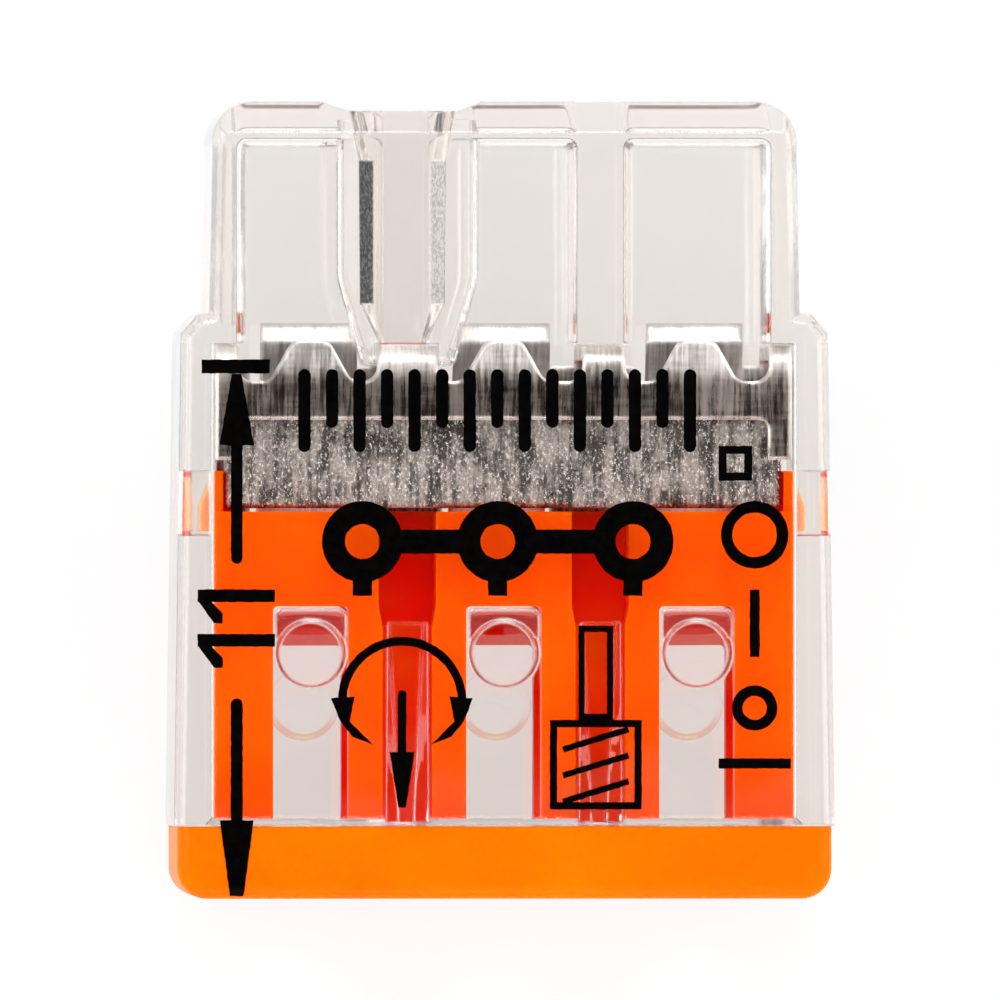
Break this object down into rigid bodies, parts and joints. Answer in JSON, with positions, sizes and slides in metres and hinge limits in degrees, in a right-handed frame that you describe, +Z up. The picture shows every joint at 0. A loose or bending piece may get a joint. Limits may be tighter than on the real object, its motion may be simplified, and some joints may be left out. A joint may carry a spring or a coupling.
{
  "type": "push-in splicing wire connector",
  "caption": "Compact push-in connector for solid wires: clear housing, orange funnel cover with wire entries, tinned busbar and leaf-spring clamps.",
  "frame": {"origin": "middle of the footprint, on the bottom face", "axes": "+Y the way a wire is pushed in, from the orange cover towards the clear rear end; +Z up through the printed face; +X to the right seen from the wire entries with +Z up"},
  "size_m": [0.0136, 0.0164, 0.0059],
  "materials": {
    "clear_plastic": "clear, polished polycarbonate",
    "orange_plastic": "translucent orange, smooth",
    "tinned_copper": "dull mottled tin plating",
    "spring_steel": "stainless, fine lengthwise grain, bright sheared edges"
  },
  "bodies": {
    "connector": {"housing": "clear_plastic", "wire_entry_cover": "orange_plastic", "busbar": "tinned_copper", "clamp_cage": "spring_steel"},
    "tongue_left": {"spring_tongue_left": "spring_steel"},
    "tongue_middle": {"spring_tongue_middle": "spring_steel"},
    "tongue_right": {"spring_tongue_right": "spring_steel"}
  },
  "joints": [
    {"name": "tongue_left_flex", "type": "hinge", "parent": "connector", "child": "tongue_left", "pos_m": [-0.004, -0.00088, 0.0008], "axis": [-1, 0, 0], "range_deg": [0, 28], "stiffness_Nm_per_rad": 0.12},
    {"name": "tongue_middle_flex", "type": "hinge", "parent": "connector", "child": "tongue_middle", "pos_m": [0, -0.00088, 0.0008], "axis": [-1, 0, 0], "range_deg": [0, 28], "stiffness_Nm_per_rad": 0.12},
    {"name": "tongue_right_flex", "type": "hinge", "parent": "connector", "child": "tongue_right", "pos_m": [0.004, -0.00088, 0.0008], "axis": [-1, 0, 0], "range_deg": [0, 28], "stiffness_Nm_per_rad": 0.12}
  ]
}
